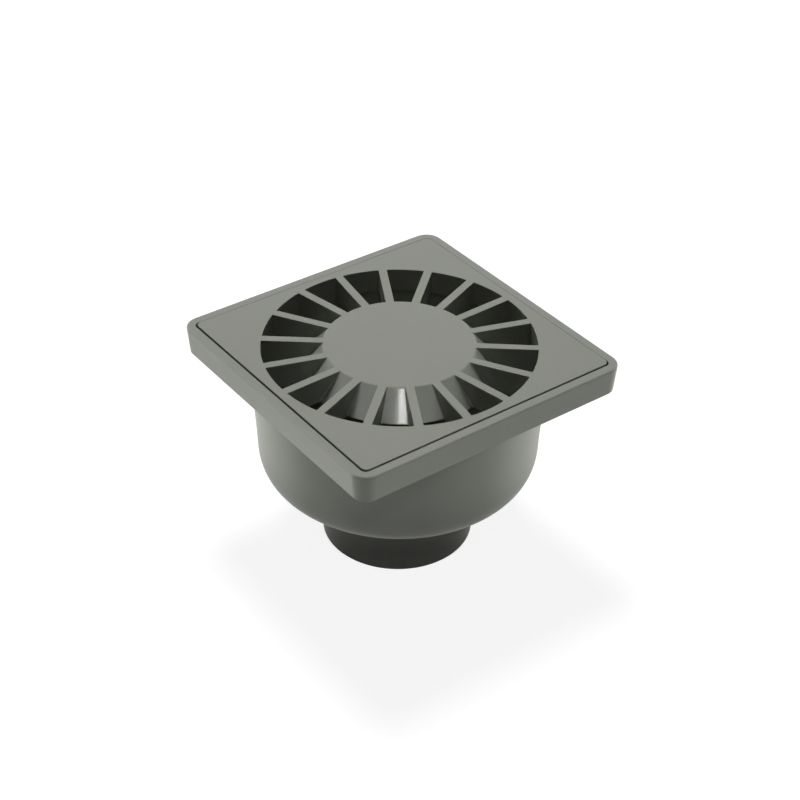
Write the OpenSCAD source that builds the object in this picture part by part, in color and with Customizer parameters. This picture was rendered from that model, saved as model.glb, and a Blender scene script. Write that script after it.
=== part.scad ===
// Square floor drain: a moulded body with a round bowl and an outlet spigot,
// a loose grate with radial slots, and a bell that makes the water seal inside.
// The origin is at the centre of the spigot's lower rim, with +Z up.

/* [Frame] */
// Length of each side of the square frame
frame_w = 150; // [148:1:220]
// Height of the frame's outer side
frame_h = 14.3; // [11:0.1:20]
// Radius of the frame's corners, at the top
frame_r = 8.4; // [5:0.1:15]
// How far each side leans in at its lower edge
frame_draft = 1.2; // [0:0.1:2]
// Radius of the frame's top and bottom edges
edge_r = 0.8; // [0.4:0.1:1.5]
// Width of the rim around the grate
rim_w = 4.6; // [3:0.2:6]
// Thickness of the seat that the grate lies on
seat_t = 3; // [2:0.5:5]
// Thickness of the frame's wall beside the pockets in its underside
frame_wall = 3.4; // [2.4:0.2:6]
// Distance from the centre lines to the start of each corner pocket
pocket_start = 26; // [20:1:40]
// Thickness of the stiffening web across each corner pocket
web_t = 2.4; // [1.6:0.2:4]

/* [Grate] */
// Thickness of the grate's plate, which lies flush with the rim
grate_t = 4; // [3:0.5:6]
// Corner radius of the grate
grate_r = 3; // [1:0.5:8]
// Gap all round between the centred grate and the rim
grate_gap = 0.6; // [0.3:0.1:1.5]
// Gap that is left along the back sides, where the loose grate lies against the rim
back_gap = 0.1; // [0.1:0.1:0.3]
// Radius of the slots' outer ends
slot_ring_r = 65.5; // [54:0.5:67]
// Number of slots
slot_count = 18; // [12:2:24]
// Turn of the slot pattern against the frame's sides, in degrees
slot_turn = 1.1; // [0:0.1:20]
// Width of the bars between the slots
bar_w = 4.05; // [3:0.05:6]
// Depth of the bars, the skirt and the ring, from the top face
bar_h = 12.4; // [9:0.2:16]
// Radius of the flat disc in the middle
disc_r = 36; // [28:0.5:42]
// Thickness of the disc
disc_t = 3.5; // [2.5:0.5:5]
// Radius of the turn from the disc's face into the skirt
disc_edge_r = 1.6; // [0.5:0.1:3]
// Radius of the sloping skirt at its lower edge
skirt_r = 48; // [44:0.5:52]
// Thickness of the skirt, measured level
skirt_t = 3; // [2:0.2:4]
// Thickness of the ring that drops into the bowl
ring_t = 2; // [1.6:0.2:3]

/* [Bowl] */
// Depth of the bowl, from the top face to its underside
bowl_depth = 71.4; // [58:0.2:110]
// Thickness of the bowl's wall
bowl_wall = 2.1; // [1.8:0.1:4]
// Clearance that is left between the grate's ring and the bowl's mouth
ring_gap = 0.15; // [0.15:0.05:1]
// Taper of the bowl's side, from the mouth down to the shoulder
bowl_taper = 1.9; // [0:0.1:4]
// Height of the rounded shoulder
shoulder_h = 22.5; // [15:0.5:30]
// Fullness of the shoulder: 2 is an ellipse, and more is squarer
shoulder_n = 3.1; // [2:0.1:4]
// Width of the flat under the bowl, outside the spigot
bottom_flat = 2.5; // [1:0.1:6]

/* [Outlet] */
// Outer radius of the outlet spigot
spigot_r = 37.5; // [31:0.5:38]
// Length of the spigot under the bowl
spigot_len = 37; // [20:1:60]
// Thickness of the spigot's wall
spigot_wall = 3; // [2:0.1:5]
// Thickness of the standpipe's wall inside the bowl
pipe_wall = 2.5; // [1.8:0.1:4]
// Rounding at the standpipe's foot
foot_r = 1; // [0.5:0.1:2]
// Size of the lead-in on the spigot's lower rim
lead_in = 0.5; // [0.4:0.1:1.5]

/* [Bell] */
// Thickness of the bell's wall and roof
bell_wall = 2; // [1.5:0.1:3]
// Space between the standpipe and the bell
bell_space = 6.2; // [4:0.1:8]
// Gap from the bowl's floor up to the bell's rim
rim_gap = 12; // [8:0.5:18]
// Height of the passage from the standpipe's top to the bell's roof
roof_gap = 11; // [6:0.5:14]
// Headroom between the bell's roof and the grate's skirt
head_gap = 3; // [2:0.5:6]
// Radius of the bell's upper edge
bell_edge_r = 4; // [2:0.5:6]
// Number of fins that seat the bell on the standpipe
fin_count = 4; // [3:1:6]
// Thickness of each fin
fin_t = 2; // [1.5:0.1:3]
// How far the fins reach down beside the standpipe
fin_drop = 14; // [6:1:16]
// Inner end of each fin, measured in from the standpipe's bore
fin_reach = 6; // [3:0.5:12]
// Clearance between the fins and the standpipe's outside
fin_gap = 0.4; // [0.2:0.1:1]
// Radius of the knob that lifts the bell out
knob_r = 9; // [6:0.5:14]
// Radius of the knob's waist
waist_r = 6; // [4:0.5:8]
// Size of the bevel around the knob's top
knob_bevel = 1; // [0.5:0.1:2]
// Clearance between the knob and the disc above it
knob_gap = 3; // [2:0.5:6]

/* [Hidden] */
$fn = 96;
plastic = [0.55, 0.56, 0.53];
shade = [0.5, 0.51, 0.48];
arc_steps = 5;
// The fins stand at the diagonals
fin_turn = 45;
shoulder_steps = 14;
// Overlap that joins shapes and lets cuts run past a face
slip = 1;
top_z = spigot_len + bowl_depth;
frame_z = top_z - frame_h;
seat_z = top_z - grate_t;
bar_z = top_z - bar_h;
recess_half = frame_w / 2 - rim_w;
grate_half = recess_half - grate_gap;
// How far the loose grate lies towards the back corner, along X and along Y
lie_shift = grate_gap - back_gap;
lean = atan(frame_draft / frame_h);
// The top edge's rounding takes this much off the frame's width, and it is put back
brow = edge_r * ((1 + sin(lean)) / cos(lean) - cos(lean));
pocket_half = frame_w / 2 - frame_draft - frame_wall;
pocket_r = max(frame_r - frame_draft - frame_wall, 1);
mouth_r = slot_ring_r + ring_t + lie_shift * sqrt(2) + ring_gap;
bowl_r = mouth_r + bowl_wall;
shoulder_r = bowl_r - bowl_taper;
shoulder_z = spigot_len + shoulder_h;
flat_r = spigot_r + bottom_flat;
floor_z = spigot_len + bowl_wall;
bore_r = spigot_r - spigot_wall;
pipe_r = bore_r + pipe_wall;
roof_z = bar_z - head_gap;
weir_z = roof_z - bell_wall - roof_gap;
rim_z = floor_z + rim_gap;
bell_in_r = pipe_r + bell_space;
bell_r = bell_in_r + bell_wall;
knob_z = top_z - disc_t - knob_gap;

// Points along a round stretch, from angle a to angle b
function arc(x, y, r, a, b) =
    [for (i = [0:arc_steps]) let (t = a + (b - a) * i / arc_steps) [x + r * cos(t), y + r * sin(t)]];

// Outline of the frame's leaning side, from its underside up, at its full reach from an axis
function side_outline(reach) = concat(
    [[0, 0]],
    arc(reach + brow - frame_draft - edge_r * (1 - sin(lean)) / cos(lean), edge_r, edge_r, -90, -lean),
    arc(reach - edge_r * cos(lean), frame_h - edge_r, edge_r, -lean, 90),
    [[0, frame_h]]);

// Shoulder curve of the bowl, inset by a wall, from the side down to the flat underneath
function shoulder(inset) =
    [for (i = [0:shoulder_steps])
        let (t = 90 * i / shoulder_steps)
        [flat_r + (shoulder_r - flat_r - inset) * pow(cos(t), 2 / shoulder_n),
         shoulder_z - (shoulder_h - inset) * pow(sin(t), 2 / shoulder_n)]];

module rounded_square(half, r) {
    square([2 * half, 2 * (half - r)], center = true);
    square([2 * (half - r), 2 * half], center = true);
    for (x = [-1, 1], y = [-1, 1])
        translate([x * (half - r), y * (half - r)])
            circle(r);
}

// One pair of the frame's leaning sides, as a bar that stops short of the corners
module side_pair() {
    half_length = frame_w / 2 - frame_r;
    rotate([90, 0, 0])
        linear_extrude(height = 2 * half_length, center = true) {
            polygon(side_outline(frame_w / 2));
            mirror([1, 0])
                polygon(side_outline(frame_w / 2));
        }
}

module frame_block() {
    side_pair();
    rotate([0, 0, 90])
        side_pair();
    for (x = [-1, 1], y = [-1, 1])
        translate([x * (frame_w / 2 - frame_r), y * (frame_w / 2 - frame_r), 0])
            rotate_extrude()
                polygon(side_outline(frame_r));
}

// Hollow in the underside of one corner of the frame, with its diagonal web left standing
module corner_pocket() {
    depth = frame_h - grate_t - seat_t;
    difference() {
        translate([0, 0, -slip])
            linear_extrude(height = depth + slip)
                intersection() {
                    rounded_square(pocket_half, pocket_r);
                    translate([pocket_start, pocket_start])
                        square(frame_w);
                }
        translate([0, 0, -2 * slip])
            cylinder(h = frame_h + 2 * slip, r = bowl_r);
        rotate([0, 0, 45])
            translate([0, -web_t / 2, -2 * slip])
                cube([frame_w, web_t, frame_h + 2 * slip]);
    }
}

module frame() {
    difference() {
        translate([0, 0, frame_z])
            frame_block();
        translate([0, 0, seat_z])
            linear_extrude(height = grate_t + slip)
                rounded_square(recess_half, grate_r);
        for (turn = [0:90:270])
            translate([0, 0, frame_z])
                rotate([0, 0, turn])
                    corner_pocket();
        translate([0, 0, frame_z - slip])
            cylinder(h = frame_h + 2 * slip, r = mouth_r);
    }
}

// Bowl, standpipe and spigot, as one section turned about the drain's axis
module bowl() {
    inside = shoulder(bowl_wall);
    last = len(inside) - 1;
    foot = [for (a = [0:30:90]) [pipe_r + foot_r * (1 - cos(a)), floor_z + foot_r * (1 - sin(a))]];
    rotate_extrude()
        polygon(concat(
            [[bore_r, lead_in], [bore_r, weir_z], [pipe_r, weir_z]],
            foot,
            [for (i = [0:last]) inside[last - i]],
            [[mouth_r, frame_z], [mouth_r, seat_z - slip], [bowl_r, seat_z - slip], [bowl_r, frame_z]],
            shoulder(0),
            [[spigot_r, spigot_len], [spigot_r, lead_in], [spigot_r - lead_in, 0], [bore_r + lead_in / 2, 0]]));
}

module body() {
    color(plastic) {
        frame();
        bowl();
    }
}

// Disc and sloping skirt, filled underneath
module skirt_form() {
    slope = atan(bar_h / (skirt_r - disc_r));
    edge_x = disc_r - disc_edge_r * tan((90 - slope) / 2);
    rotate_extrude()
        polygon(concat(
            [[0, 0]],
            [[skirt_r, 0]],
            arc(edge_x, bar_h - disc_edge_r, disc_edge_r, 90 - slope, 90),
            [[0, bar_h]]));
}

// Hollow under the disc, inside the skirt
module skirt_hollow() {
    shift = (skirt_r - disc_r) * disc_t / bar_h;
    rotate_extrude()
        polygon([
            [0, -slip],
            [skirt_r - skirt_t, -slip],
            [skirt_r - skirt_t, 0],
            [disc_r - skirt_t + shift, bar_h - disc_t],
            [0, bar_h - disc_t]]);
}

module bars() {
    reach = slot_ring_r + ring_t / 2;
    for (i = [0:slot_count - 1])
        rotate([0, 0, i * 360 / slot_count])
            translate([0, -bar_w / 2, 0])
                cube([reach, bar_w, bar_h]);
}

module grate() {
    color(plastic)
        translate([lie_shift, lie_shift, bar_z]) {
            difference() {
                union() {
                    translate([0, 0, bar_h - grate_t])
                        linear_extrude(height = grate_t)
                            rounded_square(grate_half, grate_r);
                    cylinder(h = bar_h, r = slot_ring_r + ring_t);
                }
                translate([0, 0, -slip])
                    cylinder(h = bar_h + 2 * slip, r = slot_ring_r);
            }
            difference() {
                rotate([0, 0, slot_turn])
                    union() {
                        skirt_form();
                        bars();
                    }
                skirt_hollow();
            }
        }
}

// Section of the bell: a cup upside down, with a knob on its roof
module bell_shell() {
    rotate_extrude()
        polygon(concat(
            [[0, roof_z - bell_wall], [bell_in_r - bell_edge_r, roof_z - bell_wall]],
            arc(bell_in_r - bell_edge_r, roof_z - bell_wall - bell_edge_r, bell_edge_r, 90, 0),
            [[bell_in_r, rim_z], [bell_r, rim_z]],
            arc(bell_r - bell_edge_r, roof_z - bell_edge_r, bell_edge_r, 0, 90),
            [[waist_r, roof_z], [waist_r, (roof_z + knob_z) / 2], [knob_r, knob_z - knob_bevel],
             [knob_r - knob_bevel, knob_z], [0, knob_z]]));
}

// Stepped fin: its step rests on the standpipe's rim and its leg centres the bell
module fin() {
    leg_r = pipe_r + fin_gap;
    inner_r = bore_r - fin_reach;
    outer_r = bell_r - bell_wall / 2;
    rotate([90, 0, 0])
        linear_extrude(height = fin_t, center = true)
            polygon([
                [inner_r, roof_z - bell_wall / 2],
                [inner_r, weir_z],
                [leg_r, weir_z],
                [leg_r, weir_z - fin_drop],
                [outer_r, weir_z - fin_drop],
                [outer_r, roof_z - bell_edge_r],
                [bell_r - bell_edge_r, roof_z - bell_wall / 2]]);
}

module trap_bell() {
    color(shade) {
        bell_shell();
        for (i = [0:fin_count - 1])
            rotate([0, 0, fin_turn + i * 360 / fin_count])
                fin();
    }
}

body();
grate();
trap_bell();
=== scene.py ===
"""Looks of a square plastic floor drain: body with bowl and spigot, slotted grate, and the bell inside."""

import math

import bpy
from mathutils import Matrix, Vector


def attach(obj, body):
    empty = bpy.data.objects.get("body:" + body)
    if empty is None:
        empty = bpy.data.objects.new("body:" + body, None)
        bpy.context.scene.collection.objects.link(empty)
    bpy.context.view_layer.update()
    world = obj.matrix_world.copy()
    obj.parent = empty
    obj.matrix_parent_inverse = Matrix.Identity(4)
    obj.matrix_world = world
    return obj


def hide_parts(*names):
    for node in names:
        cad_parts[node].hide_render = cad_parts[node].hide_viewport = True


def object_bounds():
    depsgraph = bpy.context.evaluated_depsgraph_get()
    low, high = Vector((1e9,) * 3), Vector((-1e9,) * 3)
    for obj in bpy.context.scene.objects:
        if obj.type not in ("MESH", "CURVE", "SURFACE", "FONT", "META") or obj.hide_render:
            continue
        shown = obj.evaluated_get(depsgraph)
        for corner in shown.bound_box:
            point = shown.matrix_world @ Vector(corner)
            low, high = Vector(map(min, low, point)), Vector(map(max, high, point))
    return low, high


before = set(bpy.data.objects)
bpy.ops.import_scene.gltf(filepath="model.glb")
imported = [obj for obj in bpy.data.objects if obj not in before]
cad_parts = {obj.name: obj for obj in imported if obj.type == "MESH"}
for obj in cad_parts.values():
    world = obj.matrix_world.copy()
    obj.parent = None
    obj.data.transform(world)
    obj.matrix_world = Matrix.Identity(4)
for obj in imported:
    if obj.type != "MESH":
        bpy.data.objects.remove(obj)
cad_low, cad_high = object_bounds()

# Sizes of the drain in millimetres, as in the part's source. Pieces are modelled at 1 unit to a millimetre
MM = 0.001
TOP = 108.4

# Frame, with a recess for the grate and hollow corners
FRAME_HALF = 75.07
FRAME_HEIGHT = 14.3
FRAME_CORNER = 8.4
FRAME_DRAFT = 1.2
FRAME_TOP_EDGE = 0.86
FRAME_FOOT_EDGE = 0.74
RECESS_HALF = 70.4
PLATE_THICK = 4.0
PLATE_CORNER = 3.0
SEAT_THICK = 3.0
POCKET_START = 26.0
POCKET_HALF = 70.4
POCKET_CORNER = 3.8
POCKET_CLEARANCE = 0.05
WEB_THICK = 2.4
WEB_REACH = 120.0
CORNER_START = 60.0

# Bowl, spigot and standpipe
BOWL_RADIUS = 70.457
BOWL_TAPER = 1.9
BOWL_WALL = 2.1
BOWL_BITE = 5.0
SHOULDER_HEIGHT = 22.5
SHOULDER_FULLNESS = 3.1
SHOULDER_STEPS = 24
FLAT_RADIUS = 40.0
SPIGOT_RADIUS = 37.5
SPIGOT_LENGTH = 37.0
SPIGOT_LEAD = 0.5
SPIGOT_ROOT = 0.5
BORE_RADIUS = 34.5
BORE_FLARE = 0.4
BORE_EDGE = 0.3
BORE_EDGE_RISE = 0.6
PIPE_RADIUS = 37.0
PIPE_FOOT = 1.0
WEIR = 80.0
WEIR_BEVEL = 0.4

# Grate, which lies towards the back corner of its recess
GRATE_SHIFT = 0.5
GRATE_HALF = 69.8
GRATE_DEPTH = 12.4
RING_RADIUS = 67.5
SLOT_OUTER = 65.5
SLOT_NEAR = 20.0
SLOT_FAR = 72.0
SLOT_COUNT = 18
SLOT_TURN = 1.1
BAR_WIDTH = 4.05
DISC_RADIUS = 36.0
DISC_THICK = 3.5
DISC_SOFT_EDGE = 1.6
SKIRT_RADIUS = 48.0
SKIRT_THICK = 3.0
SKIRT_LEAN = (SKIRT_RADIUS - DISC_RADIUS) / GRATE_DEPTH

# Bell inside
BELL_RADIUS = 45.2
BELL_WALL = 2.0
BELL_RIM = 51.1
BELL_ROOF = 93.0
BELL_EDGE = 4.0
KNOB_RADIUS = 9.0
KNOB_WAIST = 6.0
KNOB_FOOT = 1.0
KNOB_TOP = 101.9
KNOB_BEVEL = 1.0
FIN_THICK = 2.0
FIN_DROP = 14.0
FIN_INNER = 28.5
FIN_LEG = 37.4
FIN_INSET = 1.2
FIN_SINK = 0.5

# Soft edges that only the looks have
RIM_SOFT_EDGE = 0.1
GRATE_SOFT_EDGE = 0.12
SLOT_SOFT_EDGE = 0.25
SKIRT_CORNER = 0.5
SKIRT_SOFT_EDGE = 0.3

# Modelling: sides of a round piece, the angle of a sharp edge, how far a cutting shape runs past what it cuts,
# how near a point counts as on a side or on a level, the rise of an upright edge and of one beside the skirt,
# and how near two points are merged and a sliver is dropped
ROUND = 128
GRATE_ROUND = 126
SHARP = math.radians(32)
OVERRUN = 1.0
CLOSE = 0.1
LEVEL = 0.01
UPRIGHT_RISE = 1.0
SKIRT_RISE = 3.0
MERGE = 0.004
SLIVER = 0.002

# The photograph's camera, seen from the middle of the drain's top face
PICTURE_SIDE = 800
LENS_PIXELS = 1718.67
SENSOR_WIDTH = 36.0
CAMERA_AZIMUTH = -36.785
CAMERA_ELEVATION = 34.15
CAMERA_ROLL = 0.7455
CAMERA_DISTANCE = 809.79
TOP_MIDDLE_AT = (399.354, 343.633)

# Finish of the plastic
PALE_GREY = (0.272, 0.282, 0.25, 1)
DARK_GREY = (0.25, 0.259, 0.23, 1)
BELL_PALE = (0.21, 0.22, 0.2, 1)
BELL_DARK = (0.18, 0.19, 0.17, 1)
GLOSS = 0.42
SHEEN = 0.1
SKIRT_GLOSS = 0.3
SKIRT_COAT = 0.75
COAT_GLOSS = 0.16
CLOUDS = 24.0
SPECKS = 900.0
SPECK_SHARE = 0.2
GLOSS_PATCHES = 60.0
GLOSS_RANGE = 0.12
FINE_GRAIN = 1500.0
COARSE_GRAIN = 420.0
GRAIN_STRENGTH = 0.35
GRAIN_DEPTH = 0.00003

# The skirt's polish: how much grain it takes away, and how far it reaches inside the disc's edge and outside the
# skirt's foot, and stays below the top face, in millimetres
POLISH = 0.9
POLISH_INSIDE = 0.8
POLISH_OUTSIDE = 0.3
POLISH_BELOW = 0.4

# Floor and surroundings
WHITE = (1, 1, 1, 1)
BLACK = (0, 0, 0, 1)
TENT_FILL = (0.006, 0.006, 0.006, 1)
FLOOR_SIZE = 8.0
FLOOR_ROUGHNESS = 0.9
FLOOR_SEEN = (0.25, 0.25, 0.25, 1)
FLOOR_BOUNCE = (0.85, 0.85, 0.85, 1)
FLOOR_GLOW = (0.88, 0.88, 0.88, 1)

# Lamps: degrees round from the camera's side, height in degrees, distance, width and height in metres, watts,
# how far the light fans out in degrees, then how far from the axis and how high it aims
LAMPS = [
    ("top_lamp", -165, 68, 1.4, 0.4, 0.4, 17.8, 180, 0, 0.07),
    ("left_front_lamp", -104, 0, 0.6, 0.4, 0.1, 0.043, 8, 0, 0.095),
    ("left_back_lamp", -126, 0, 0.6, 0.4, 0.1, 0.132, 8, 0, 0.095),
    ("right_front_lamp", 100, 0, 0.6, 0.4, 0.1, 0.047, 8, 0, 0.095),
    ("right_back_lamp", 126, 0, 0.6, 0.4, 0.1, 0.105, 8, 0, 0.095),
    ("front_lamp", -8, 0, 0.6, 0.4, 0.1, 0.012, 8, 0, 0.095),
    ("skirt_lamp", 3.5, 51.9, 1.2, 0.1, 0.16, 0.0046, 8, 0.042, 0.102),
]


def hold(piece):
    """Only this piece is selected, and tools act on it."""
    if bpy.context.object and bpy.context.object.mode != "OBJECT":
        bpy.ops.object.mode_set(mode="OBJECT")
    bpy.ops.object.select_all(action="DESELECT")
    piece.select_set(True)
    bpy.context.view_layer.objects.active = piece


def name_it(name):
    """Names the piece that has just been added."""
    piece = bpy.context.object
    piece.name = piece.data.name = name
    return piece


def sharp_edges(piece):
    """In edit mode, the numbers of the edges whose two faces meet at an angle."""
    bpy.ops.mesh.select_mode(type="EDGE")
    bpy.ops.mesh.select_all(action="DESELECT")
    bpy.ops.mesh.edges_select_sharp(sharpness=SHARP)
    bpy.ops.object.mode_set(mode="OBJECT")
    numbers = {edge.index for edge in piece.data.edges if edge.select}
    bpy.ops.object.mode_set(mode="EDIT")
    return numbers


def pick(piece, kind, wanted):
    """In edit mode, selects the sharp edges, or the faces, whose corner points are wanted."""
    sharp = sharp_edges(piece)
    bpy.ops.mesh.select_mode(type=kind)
    bpy.ops.mesh.select_all(action="DESELECT")
    bpy.ops.object.mode_set(mode="OBJECT")
    mesh = piece.data
    for part in mesh.edges if kind == "EDGE" else mesh.polygons:
        points = [mesh.vertices[i].co for i in part.vertices]
        part.select = (kind == "FACE" or part.index in sharp) and wanted(points)
    bpy.ops.object.mode_set(mode="EDIT")


def cut(piece, *tools):
    """Takes the tools' shapes out of the piece and throws the tools away."""
    combine(piece, "DIFFERENCE", tools)


def weld(piece, *others):
    """Makes the piece and the others one solid."""
    combine(piece, "UNION", others)


def combine(piece, operation, others):
    """Joins, cuts or trims the piece by each of the others, which are then gone."""
    hold(piece)
    for other in others:
        step = piece.modifiers.new(operation.lower(), "BOOLEAN")
        step.operation, step.solver, step.object = operation, "EXACT", other
        bpy.ops.object.modifier_apply(modifier=step.name)
        bpy.data.objects.remove(other)


def turned(name, outline, sides=ROUND):
    """A solid turned about the drain's axis: a round face that is drawn on from each point to the next."""
    bpy.ops.object.select_all(action="DESELECT")
    radius, height = outline[0]
    bpy.ops.mesh.primitive_circle_add(vertices=sides, radius=radius, fill_type="NGON", location=(0, 0, height))
    piece = name_it(name)
    bpy.ops.object.transform_apply()
    bpy.ops.object.mode_set(mode="EDIT")
    bpy.ops.mesh.select_all(action="SELECT")
    for wider, higher in outline[1:]:
        bpy.ops.mesh.extrude_region_move(TRANSFORM_OT_translate={"value": (0, 0, higher - height)})
        grow = wider / radius
        bpy.ops.transform.resize(value=(grow, grow, 1), center_override=(0, 0, higher))
        radius, height = wider, higher
    bpy.ops.mesh.select_all(action="SELECT")
    bpy.ops.mesh.normals_make_consistent(inside=False)
    bpy.ops.object.mode_set(mode="OBJECT")
    return piece


def arc(centre, radius, start, end, steps=5):
    """Points on a round stretch of an outline, from one angle to another."""
    angles = [math.radians(start + (end - start) * i / steps) for i in range(steps + 1)]
    return [(centre[0] + radius * math.cos(a), centre[1] + radius * math.sin(a)) for a in angles]


def block(name, low, high):
    """A box between two corners."""
    bpy.ops.object.select_all(action="DESELECT")
    middle = [(a + b) / 2 for a, b in zip(low, high)]
    bpy.ops.mesh.primitive_cube_add(size=1, location=middle, scale=[b - a for a, b in zip(low, high)])
    piece = name_it(name)
    bpy.ops.object.transform_apply()
    return piece


def upright(points):
    """True for an edge that stands up."""
    return abs(points[0].z - points[1].z) > UPRIGHT_RISE


def rounded_plate(name, half, corner, low, high, steps=10):
    """A square plate with its four upright edges rounded."""
    piece = block(name, (-half, -half, low), (half, half, high))
    bpy.ops.object.mode_set(mode="EDIT")
    pick(piece, "EDGE", upright)
    bpy.ops.mesh.bevel(offset=corner, segments=steps, affect="EDGES", clamp_overlap=False)
    bpy.ops.object.mode_set(mode="OBJECT")
    return piece


def round_edges(piece, wanted, reach, steps=3):
    """Rounds the wanted edges of a piece."""
    hold(piece)
    bpy.ops.object.mode_set(mode="EDIT")
    pick(piece, "EDGE", wanted)
    bpy.ops.mesh.bevel(offset=reach, segments=steps, affect="EDGES", clamp_overlap=False)
    bpy.ops.object.mode_set(mode="OBJECT")


def turn_copy(piece, angle):
    """A copy of a piece with its own mesh, turned about the drain's axis."""
    other = piece.copy()
    other.data = piece.data.copy()
    bpy.context.scene.collection.objects.link(other)
    hold(other)
    other.rotation_euler.z = angle
    bpy.ops.object.transform_apply()
    return other


def finish_piece(piece, node, material):
    """Merges stray points, shades round faces smooth, turns millimetres to metres and takes the node's place."""
    hold(piece)
    bpy.ops.object.mode_set(mode="EDIT")
    bpy.ops.mesh.select_all(action="SELECT")
    bpy.ops.mesh.remove_doubles(threshold=MERGE)
    bpy.ops.mesh.dissolve_degenerate(threshold=SLIVER)
    bpy.ops.mesh.select_all(action="SELECT")
    bpy.ops.mesh.normals_make_consistent(inside=False)
    bpy.ops.object.mode_set(mode="OBJECT")
    piece.scale = (MM, MM, MM)
    bpy.ops.object.transform_apply()
    bpy.ops.object.shade_smooth_by_angle(angle=SHARP)
    flatten = piece.modifiers.new("keep_flats_flat", "WEIGHTED_NORMAL")
    flatten.keep_sharp = True
    bpy.ops.object.modifier_apply(modifier=flatten.name)
    piece.data.materials.clear()
    piece.data.materials.append(material)
    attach(piece, "root")
    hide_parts(node)


def shoulder(inset):
    """Rounded shoulder of the bowl, from the flat underneath up to the side, inset by a wall."""
    points = []
    for i in range(SHOULDER_STEPS, -1, -1):
        t = math.radians(90 * i / SHOULDER_STEPS)
        width = (BOWL_RADIUS - BOWL_TAPER - FLAT_RADIUS - inset) * max(math.cos(t), 0) ** (2 / SHOULDER_FULLNESS)
        drop = (SHOULDER_HEIGHT - inset) * math.sin(t) ** (2 / SHOULDER_FULLNESS)
        points.append((FLAT_RADIUS + width, SPIGOT_LENGTH + SHOULDER_HEIGHT - drop))
    return points


def frame_block():
    """Outside of the square frame: sides that lean in towards the bottom, and soft edges all round."""
    low = TOP - FRAME_HEIGHT
    piece = rounded_plate("frame_block", FRAME_HALF, FRAME_CORNER, low, TOP, 12)
    centre = FRAME_HALF - FRAME_CORNER
    shrink = 1 - FRAME_DRAFT / FRAME_CORNER
    bpy.ops.object.mode_set(mode="EDIT")
    for x in (-1, 1):
        for y in (-1, 1):
            pick(piece, "EDGE", lambda points: all(
                p.z < low + CLOSE and p.x * x > CORNER_START and p.y * y > CORNER_START for p in points))
            bpy.ops.transform.resize(value=(shrink, shrink, 1), center_override=(x * centre, y * centre, low))
    bpy.ops.object.mode_set(mode="OBJECT")
    round_edges(piece, lambda points: all(p.z > TOP - CLOSE for p in points), FRAME_TOP_EDGE, 4)
    round_edges(piece, lambda points: all(p.z < low + CLOSE for p in points), FRAME_FOOT_EDGE, 4)
    return piece


def corner_pockets():
    """Hollows in the frame's underside, one at each corner, with a web left across each."""
    low = TOP - FRAME_HEIGHT
    roof = TOP - PLATE_THICK - SEAT_THICK
    pocket = block("pocket", (POCKET_START, POCKET_START, low - OVERRUN), (POCKET_HALF, POCKET_HALF, roof))
    round_edges(pocket, lambda points: upright(points) and min(points[0].xy) > CORNER_START, POCKET_CORNER, 6)
    clear = BOWL_RADIUS + POCKET_CLEARANCE
    bowl_side = [(clear, low - 2 * OVERRUN), (clear, TOP)]
    web = block("web", (0, -WEB_THICK / 2, low - 2 * OVERRUN), (WEB_REACH, WEB_THICK / 2, TOP))
    hold(web)
    web.rotation_euler.z = math.radians(45)
    bpy.ops.object.transform_apply()
    cut(pocket, turned("bowl_side", bowl_side), web)
    return [pocket] + [turn_copy(pocket, math.radians(turn)) for turn in (90, 180, 270)]


def round_the_recess(points):
    """True for the rim's inner edge, round the grate."""
    return all(p.z > TOP - LEVEL and max(abs(p.x), abs(p.y)) < RECESS_HALF + CLOSE for p in points)


def make_body():
    """Frame, bowl, standpipe and spigot, moulded in one."""
    low = TOP - FRAME_HEIGHT
    seat = TOP - PLATE_THICK
    floor = SPIGOT_LENGTH + BOWL_WALL
    mouth = BOWL_RADIUS - BOWL_WALL
    lead = arc((SPIGOT_RADIUS - SPIGOT_LEAD, SPIGOT_LEAD), SPIGOT_LEAD, -90, 0, 3)
    corner = arc((SPIGOT_RADIUS + SPIGOT_ROOT, SPIGOT_LENGTH - SPIGOT_ROOT), SPIGOT_ROOT, 180, 90, 3)
    side = [(BOWL_RADIUS, low), (BOWL_RADIUS, low + BOWL_BITE)]
    outside = turned("bowl_outside", lead + corner + shoulder(0) + side)
    foot = arc((PIPE_RADIUS + PIPE_FOOT, floor + PIPE_FOOT), PIPE_FOOT, 180, 270, 4)
    void = [(PIPE_RADIUS, WEIR)] + foot + shoulder(BOWL_WALL)
    void += [(mouth, low), (mouth, seat + OVERRUN)]
    bore = [(BORE_RADIUS + BORE_FLARE, -OVERRUN), (BORE_RADIUS + BORE_EDGE, 0), (BORE_RADIUS, BORE_EDGE_RISE)]
    weir = BORE_RADIUS + WEIR_BEVEL
    bore += [(BORE_RADIUS, WEIR - WEIR_BEVEL), (weir, WEIR), (weir, WEIR + OVERRUN)]
    body = frame_block()
    body.name = "drain_body"
    weld(body, outside)
    cut(body, turned("bowl_inside", void), turned("bore", bore))
    cut(body, rounded_plate("recess", RECESS_HALF, PLATE_CORNER, seat, TOP + OVERRUN))
    cut(body, *corner_pockets())
    round_edges(body, round_the_recess, RIM_SOFT_EDGE)
    finish_piece(body, "body", moulded_plastic("body_plastic", PALE_GREY, DARK_GREY))


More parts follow.
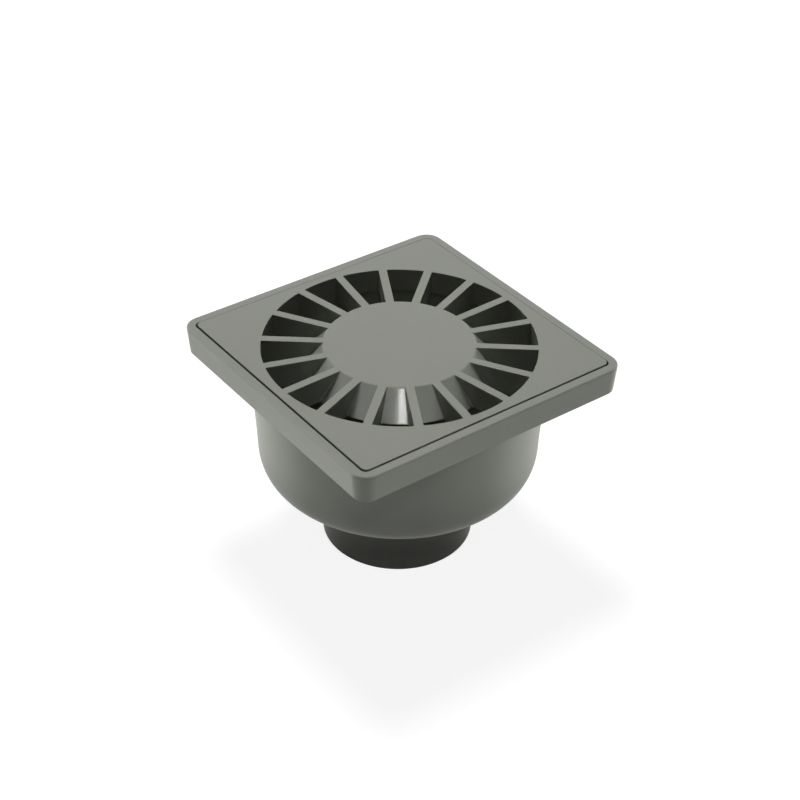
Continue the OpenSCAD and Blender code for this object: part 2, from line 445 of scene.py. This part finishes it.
def skirt_side():
    """Outline of the disc's soft edge and the skirt, from above the top face down past the lower edge."""
    slope = math.degrees(math.atan(GRATE_DEPTH / (SKIRT_RADIUS - DISC_RADIUS)))
    edge = DISC_RADIUS - DISC_SOFT_EDGE * math.tan(math.radians((90 - slope) / 2))
    points = arc((edge, TOP - DISC_SOFT_EDGE), DISC_SOFT_EDGE, 90, 90 - slope, 7)[1:]
    first, second = points[:2]
    rise = (TOP + OVERRUN - first[1]) / (first[1] - second[1])
    above = (first[0] - (second[0] - first[0]) * rise, TOP + OVERRUN)
    foot = TOP - GRATE_DEPTH
    return [above] + points + [(SKIRT_RADIUS, foot), (SKIRT_RADIUS + SKIRT_LEAN * OVERRUN, foot - OVERRUN)]


def on_the_cone(point):
    """True for a point on the sloping side of the skirt."""
    return abs(math.hypot(point.x, point.y) - DISC_RADIUS - (TOP - point.z) * SKIRT_LEAN) < CLOSE


def beside_the_skirt(points):
    """True for the edges of a slot's space that run down between the skirt and a bar."""
    return abs(points[0].z - points[1].z) > SKIRT_RISE and all(on_the_cone(p) for p in points)


def round_the_skirt_foot(points):
    """True for the skirt's lower edge where a slot shows it."""
    foot = TOP - GRATE_DEPTH + LEVEL
    return all(p.z < foot and abs(math.hypot(p.x, p.y) - SKIRT_RADIUS) < CLOSE for p in points)


def slot_space():
    """The space of one slot, on the +Y side of the axis: between two bars, the ring and the skirt."""
    low = TOP - GRATE_DEPTH - 2 * OVERRUN
    outer_side = [(SLOT_OUTER, low + OVERRUN), (SLOT_OUTER, TOP + 2 * OVERRUN)]
    ring = turned("slot_ring", skirt_side() + outer_side, GRATE_ROUND)
    slot = block("slot", (-1, SLOT_NEAR, low + 1.5 * OVERRUN), (1, SLOT_FAR, TOP + OVERRUN / 2))
    bpy.ops.object.mode_set(mode="EDIT")
    half_turn = math.radians(180 / SLOT_COUNT)
    for place in (SLOT_NEAR, SLOT_FAR):
        half = place * math.tan(half_turn) - BAR_WIDTH / 2 / math.cos(half_turn)
        pick(slot, "FACE", lambda points: all(abs(p.y - place) < CLOSE for p in points))
        bpy.ops.transform.resize(value=(half, 1, 1), center_override=(0, place, TOP))
    bpy.ops.object.mode_set(mode="OBJECT")
    combine(slot, "INTERSECT", [ring])
    round_edges(slot, beside_the_skirt, SKIRT_CORNER)
    return slot


def round_the_slots(points):
    """True for the slots' edges in the top face, apart from the disc's soft edge."""
    near, far = DISC_RADIUS - 3 * CLOSE, SLOT_OUTER + CLOSE
    return all(p.z > TOP - LEVEL and near < math.hypot(p.x, p.y) < far for p in points)


def round_the_plate(points):
    """True for the grate's outer edge in the top face."""
    return all(p.z > TOP - LEVEL and max(abs(p.x), abs(p.y)) > GRATE_HALF - PLATE_CORNER for p in points)


def make_grate():
    """Square plate with a ring under it, radial slots through both, and a sloping skirt under the disc."""
    low = TOP - GRATE_DEPTH
    under_disc = TOP - DISC_THICK
    inner = SKIRT_RADIUS - SKIRT_THICK
    grate = rounded_plate("drain_grate", GRATE_HALF, PLATE_CORNER, TOP - PLATE_THICK, TOP)
    weld(grate, turned("ring", [(RING_RADIUS, low), (RING_RADIUS, TOP - PLATE_THICK / 2)], GRATE_ROUND))
    roof = DISC_RADIUS - SKIRT_THICK + DISC_THICK * SKIRT_LEAN
    hollow = [(inner, low - OVERRUN), (inner, low), (roof, under_disc)]
    cut(grate, turned("under_disc", hollow, GRATE_ROUND))
    first = slot_space()
    pitch = 360 / SLOT_COUNT
    slots = [turn_copy(first, math.radians(SLOT_TURN + pitch * i)) for i in range(SLOT_COUNT)]
    bpy.data.objects.remove(first)
    cut(grate, *slots)
    round_edges(grate, round_the_slots, SLOT_SOFT_EDGE)
    round_edges(grate, round_the_plate, GRATE_SOFT_EDGE)
    round_edges(grate, round_the_skirt_foot, SKIRT_SOFT_EDGE, 2)
    hold(grate)
    grate.location = (GRATE_SHIFT, GRATE_SHIFT, 0)
    bpy.ops.object.transform_apply()
    finish_piece(grate, "grate", moulded_plastic("grate_plastic", PALE_GREY, DARK_GREY, True))


def make_bell():
    """Cup that stands upside down over the standpipe on four stepped fins, with a knob to lift it by."""
    inner = BELL_RADIUS - BELL_WALL
    roof = BELL_ROOF - BELL_WALL
    outline = arc((inner - BELL_EDGE, roof - BELL_EDGE), BELL_EDGE, 90, 0, 6)
    outline += arc(((inner + BELL_RADIUS) / 2, BELL_RIM + BELL_WALL / 2), BELL_WALL / 2, 180, 360, 6)
    outline += arc((BELL_RADIUS - BELL_EDGE, BELL_ROOF - BELL_EDGE), BELL_EDGE, 0, 90, 6)
    outline += arc((KNOB_WAIST + KNOB_FOOT, BELL_ROOF + KNOB_FOOT), KNOB_FOOT, 270, 180, 3)
    outline += [(KNOB_WAIST, (BELL_ROOF + KNOB_TOP) / 2), (KNOB_RADIUS, KNOB_TOP - KNOB_BEVEL)]
    outline += arc((KNOB_RADIUS - KNOB_BEVEL, KNOB_TOP - KNOB_BEVEL), KNOB_BEVEL, 0, 90, 4)
    bell = turned("seal_bell", outline)
    half = FIN_THICK / 2
    fin = block("fin", (FIN_INNER, -half, WEIR), (BELL_RADIUS - FIN_INSET, half, roof + FIN_SINK))
    bpy.ops.object.mode_set(mode="EDIT")
    bpy.ops.mesh.select_all(action="SELECT")
    bpy.ops.mesh.bisect(plane_co=(FIN_LEG, 0, 0), plane_no=(1, 0, 0))
    pick(fin, "FACE", lambda points: all(p.z < WEIR + CLOSE and p.x > FIN_LEG - CLOSE for p in points))
    bpy.ops.mesh.extrude_region_move(TRANSFORM_OT_translate={"value": (0, 0, -FIN_DROP)})
    bpy.ops.object.mode_set(mode="OBJECT")
    fins = [turn_copy(fin, math.radians(45 + 90 * i)) for i in range(4)]
    bpy.data.objects.remove(fin)
    weld(bell, *fins)
    finish_piece(bell, "trap_bell", moulded_plastic("bell_plastic", BELL_PALE, BELL_DARK))


class Value:
    """A number that varies over a surface. Sums on it add Math nodes to its recipe."""

    def __init__(self, recipe, socket):
        self.recipe, self.socket = recipe, socket

    def maths(self, operation, first, second):
        return self.recipe.add("ShaderNodeMath", {"operation": operation}, {0: first, 1: second})

    def __add__(self, other):
        return self.maths("ADD", self, other)

    def __sub__(self, other):
        return self.maths("SUBTRACT", self, other)

    def __rsub__(self, other):
        return self.maths("SUBTRACT", other, self)

    def __mul__(self, other):
        return self.maths("MULTIPLY", self, other)

    def over(self, level):
        return self.maths("GREATER_THAN", self, level)

    def under(self, level):
        return self.maths("LESS_THAN", self, level)

    def either(self, other):
        return self.maths("MAXIMUM", self, other)

    __radd__ = __add__
    __rmul__ = __mul__


class Recipe:
    """The nodes of one material or of the world."""

    def __init__(self, owner):
        owner.use_nodes = True
        self.tree = owner.node_tree

    def add(self, kind, settings=None, inputs=None, output=0):
        """Adds a node of a kind with its settings and the values or links of its sockets."""
        node = self.tree.nodes.new(kind)
        for name, value in (settings or {}).items():
            setattr(node, name, value)
        self.feed(node, inputs or {})
        return Value(self, node.outputs[output])

    def feed(self, node, inputs):
        """Sets or links a node's sockets."""
        for name, value in inputs.items():
            if isinstance(value, Value):
                self.tree.links.new(value.socket, node.inputs[name])
            else:
                node.inputs[name].default_value = value

    def noise(self, place, scale, detail=2.0):
        """Soft random cloudiness, finer with a larger scale."""
        return self.add("ShaderNodeTexNoise", None, {"Vector": place, "Scale": scale, "Detail": detail})

    def blend(self, share, first, second):
        """Goes from the first colour to the second."""
        return self.add("ShaderNodeMix", {"data_type": "RGBA"}, {0: share, 6: first, 7: second}, 2)


def moulded_plastic(name, pale, dark, glossy_skirt=False):
    """Satin grey plastic: cloudy colour, a fine moulded grain and uneven gloss."""
    material = bpy.data.materials.new(name)
    recipe = Recipe(material)
    place = recipe.add("ShaderNodeTexCoord", output=3)
    clouds = recipe.noise(place, CLOUDS, 3.0)
    specks = recipe.noise(place, SPECKS)
    colour = recipe.blend(clouds * (1 - SPECK_SHARE) + specks * SPECK_SHARE, dark, pale)
    roughness = GLOSS + (recipe.noise(place, GLOSS_PATCHES, 3.0) - 0.5) * GLOSS_RANGE
    grain = recipe.noise(place, FINE_GRAIN) * 0.5 + recipe.noise(place, COARSE_GRAIN) * 0.5
    shader = recipe.tree.nodes["Principled BSDF"]
    if glossy_skirt:
        skirt = on_skirt(recipe, place)
        roughness = roughness * (1 - skirt) + skirt * SKIRT_GLOSS
        grain = grain * (1 - POLISH * skirt)
        recipe.feed(shader, {"Coat Weight": skirt * SKIRT_COAT, "Coat Roughness": COAT_GLOSS})
    bump = {"Strength": GRAIN_STRENGTH, "Distance": GRAIN_DEPTH, "Height": grain}
    normal = recipe.add("ShaderNodeBump", None, bump)
    recipe.feed(shader, {"Base Color": colour, "Roughness": roughness, "Normal": normal})
    recipe.feed(shader, {"Specular IOR Level": SHEEN})
    return material


def on_skirt(recipe, place):
    """1 on the polished skirt under the disc, and 0 elsewhere."""
    split = recipe.add("ShaderNodeSeparateXYZ", None, {"Vector": place})
    x, y, z = (Value(recipe, out) for out in split.socket.node.outputs)
    x, y = x - GRATE_SHIFT * MM, y - GRATE_SHIFT * MM
    from_axis = x * x + y * y
    outside = from_axis.over(((DISC_RADIUS - POLISH_INSIDE) * MM) ** 2)
    inside = from_axis.under(((SKIRT_RADIUS + POLISH_OUTSIDE) * MM) ** 2)
    return outside * inside * z.under((TOP - POLISH_BELOW) * MM)


def around(angle, elevation, distance):
    """A place round the drain, at an angle from the camera's side of it, in metres."""
    turn, rise = math.radians(CAMERA_AZIMUTH + angle), math.radians(elevation)
    return Vector((
        math.sin(turn) * math.cos(rise),
        -math.cos(turn) * math.cos(rise),
        math.sin(rise),
    )) * distance


def softbox(name, target, place, width, height, power, fan):
    """A lamp with a flat face that points at its target. Only the skirt's lamp shows in reflections."""
    data = bpy.data.lights.new(name, "AREA")
    data.shape, data.size, data.size_y, data.energy = "RECTANGLE", width, height, power
    data.spread = math.radians(fan)
    lamp = bpy.data.objects.new(name, data)
    bpy.context.scene.collection.objects.link(lamp)
    lamp.location = target + place
    lamp.rotation_euler = (-place).to_track_quat("-Z", "Y").to_euler()
    lamp.visible_glossy = name == "skirt_lamp"


def seen_directly(recipe):
    """1 where the camera sees something directly or in a reflection, and 0 where it only lights the drain."""
    names = ("Is Camera Ray", "Is Glossy Ray", "Is Transmission Ray")
    camera, glossy, through = (recipe.add("ShaderNodeLightPath", output=name) for name in names)
    return camera.either(glossy).either(through)


def studio():
    """Pale floor that goes white a metre away, white surroundings and soft lamps."""
    world = bpy.data.worlds.new("white_tent")
    bpy.context.scene.world = world
    recipe = Recipe(world)
    seen = seen_directly(recipe)
    recipe.feed(recipe.tree.nodes["Background"], {"Color": recipe.blend(seen, TENT_FILL, WHITE)})
    bpy.ops.object.select_all(action="DESELECT")
    bpy.ops.mesh.primitive_plane_add(size=FLOOR_SIZE, location=(0, 0, 0))
    floor = name_it("floor")
    material = bpy.data.materials.new("pale_floor")
    recipe = Recipe(material)
    shader = recipe.tree.nodes["Principled BSDF"]
    seen = seen_directly(recipe)
    place = recipe.add("ShaderNodeTexCoord", output=3)
    near = recipe.add("ShaderNodeTexGradient", {"gradient_type": "SPHERICAL"}, {"Vector": place}, 1)
    glow = recipe.blend(near, WHITE, FLOOR_GLOW)
    recipe.feed(shader, {
        "Base Color": recipe.blend(seen, FLOOR_BOUNCE, FLOOR_SEEN),
        "Roughness": FLOOR_ROUGHNESS,
        "Specular IOR Level": 0.0,
        "Emission Color": recipe.blend(seen, BLACK, glow),
        "Emission Strength": 1.0,
    })
    floor.data.materials.append(material)
    for name, turn, rise, distance, width, height, power, fan, reach, level in LAMPS:
        target = around(turn, 0, reach) + Vector((0, 0, level))
        softbox(name, target, around(turn, rise, distance), width, height, power, fan)


def photo_camera(target):
    """The camera looks past target, so that target shows at its own place in the picture."""
    azimuth = math.radians(CAMERA_AZIMUTH)
    back = around(0, CAMERA_ELEVATION, 1)
    right = Vector((math.cos(azimuth), math.sin(azimuth), 0))
    up = back.cross(right)
    level = Matrix((right, up, back)).transposed().to_3x3()
    rolled = level @ Matrix.Rotation(math.radians(CAMERA_ROLL), 3, "Z")
    half = PICTURE_SIDE / 2
    aim = Vector(((TOP_MIDDLE_AT[0] - half) / LENS_PIXELS, -(TOP_MIDDLE_AT[1] - half) / LENS_PIXELS, -1))
    turn = Vector((0, 0, -1)).rotation_difference(aim.normalized()).to_matrix()
    data = bpy.data.cameras.new("photo_camera")
    data.sensor_width = SENSOR_WIDTH
    data.lens = LENS_PIXELS * SENSOR_WIDTH / PICTURE_SIDE
    camera = bpy.data.objects.new("photo_camera", data)
    bpy.context.scene.collection.objects.link(camera)
    place = (rolled @ turn.inverted()).to_4x4()
    place.translation = target + back * CAMERA_DISTANCE * MM
    camera.matrix_world = place
    bpy.context.scene.camera = camera


make_body()
make_grate()
make_bell()
photo_camera(Vector((0, 0, cad_high.z)))
studio()
bpy.context.scene.view_settings.view_transform = "Standard"
